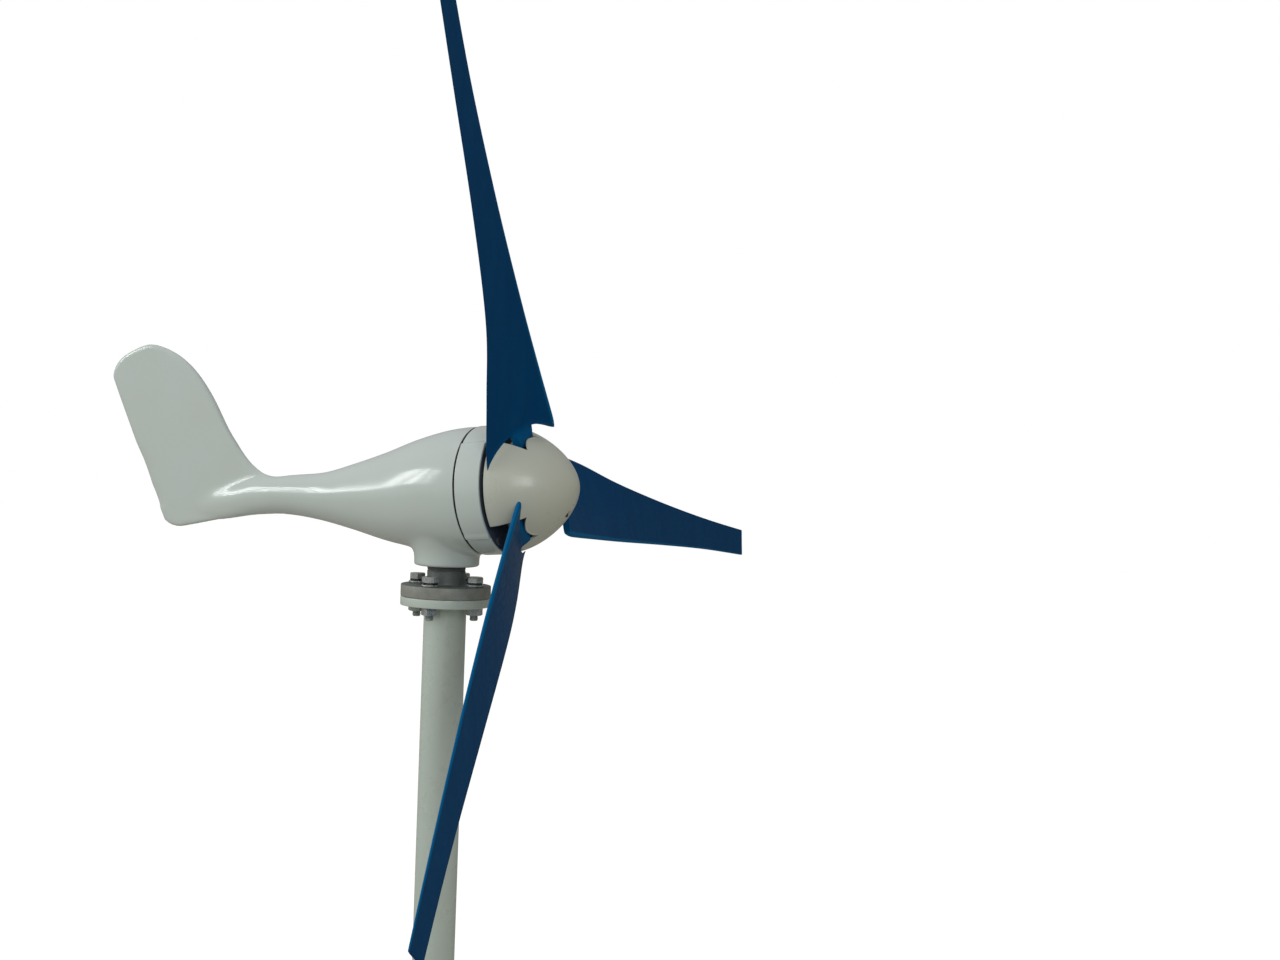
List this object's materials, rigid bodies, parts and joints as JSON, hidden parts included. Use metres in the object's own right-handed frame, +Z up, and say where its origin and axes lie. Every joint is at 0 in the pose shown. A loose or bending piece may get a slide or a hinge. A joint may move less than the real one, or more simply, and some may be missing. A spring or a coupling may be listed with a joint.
{
  "type": "small wind turbine",
  "caption": "Small horizontal-axis wind turbine with a free-yawing nacelle, fixed tail fin, twisted blades and a flanged mast.",
  "frame": {"origin": "centre of the mast's foot, on the yaw axis", "axes": "+Z up along the mast, +X towards the spinner's nose at rest, +Y to the turbine's left"},
  "size_m": [0.6414, 0.9482, 1.6737],
  "materials": {
    "white_paint": "gloss",
    "mast_paint": "gloss",
    "spinner_paint": "satin",
    "blade_plastic": "satin",
    "dark_paint": "satin",
    "spindle_steel": "dull",
    "zinc_steel": "bright zinc plate",
    "bearing_steel": "ground",
    "iron": "laminated",
    "magnet": "nickel plate",
    "copper": "varnished copper",
    "black_rubber": "matt",
    "black_plastic": "matt",
    "carbon": "matt",
    "cast_aluminium": "as cast"
  },
  "bodies": {
    "mast": {"mast_tube": "mast_paint", "mast_top_flange": "mast_paint", "base_flange": "mast_paint", "yaw_spindle": "spindle_steel", "flange_bolt_1": "zinc_steel", "flange_bolt_2": "zinc_steel", "flange_bolt_3": "zinc_steel", "flange_bolt_4": "zinc_steel", "flange_washer_1": "zinc_steel", "flange_washer_2": "zinc_steel", "flange_washer_3": "zinc_steel", "flange_washer_4": "zinc_steel", "flange_nut_1": "zinc_steel", "flange_nut_2": "zinc_steel", "flange_nut_3": "zinc_steel", "flange_nut_4": "zinc_steel", "slip_ring_sleeve": "black_plastic", "slip_ring_1": "copper", "slip_ring_2": "copper", "slip_ring_3": "copper", "yaw_retaining_ring": "bearing_steel"},
    "nacelle": {"nacelle_shell": "white_paint", "seam_gasket": "black_rubber", "front_ring": "white_paint", "front_cover": "dark_paint", "cover_screw_1": "dark_paint", "cover_screw_2": "dark_paint", "cover_screw_3": "dark_paint", "bearing_bracket": "cast_aluminium", "rear_bearing": "bearing_steel", "front_bearing": "bearing_steel", "yaw_bearing_lower": "bearing_steel", "yaw_bearing_upper": "bearing_steel", "yaw_seal": "black_rubber", "stator_core": "iron", "stator_winding": "copper", "brush_holder": "black_plastic", "brush_1": "carbon", "brush_2": "carbon", "brush_3": "carbon"},
    "rotor": {"rotor_shaft": "bearing_steel", "rotor_core": "iron", "magnet_ring": "magnet", "hub_plate": "dark_paint", "clamp_plate": "zinc_steel", "blade_bolt_1": "zinc_steel", "blade_bolt_2": "zinc_steel", "blade_bolt_3": "zinc_steel", "blade_bolt_4": "zinc_steel", "blade_bolt_5": "zinc_steel", "blade_bolt_6": "zinc_steel", "spinner_carrier": "cast_aluminium", "hub_nut": "zinc_steel", "blade_1": "blade_plastic", "blade_2": "blade_plastic", "blade_3": "blade_plastic", "spinner": "spinner_paint", "spinner_screw": "dark_paint"}
  },
  "joints": [
    {"name": "yaw", "type": "hinge", "parent": "mast", "child": "nacelle", "pos_m": [0, 0, 1.1193], "axis": [0, 0, 1], "continuous": true},
    {"name": "rotor_spin", "type": "hinge", "parent": "nacelle", "child": "rotor", "pos_m": [0, 0, 1.1193], "axis": [0.9958, 0, 0.0915], "continuous": true}
  ]
}
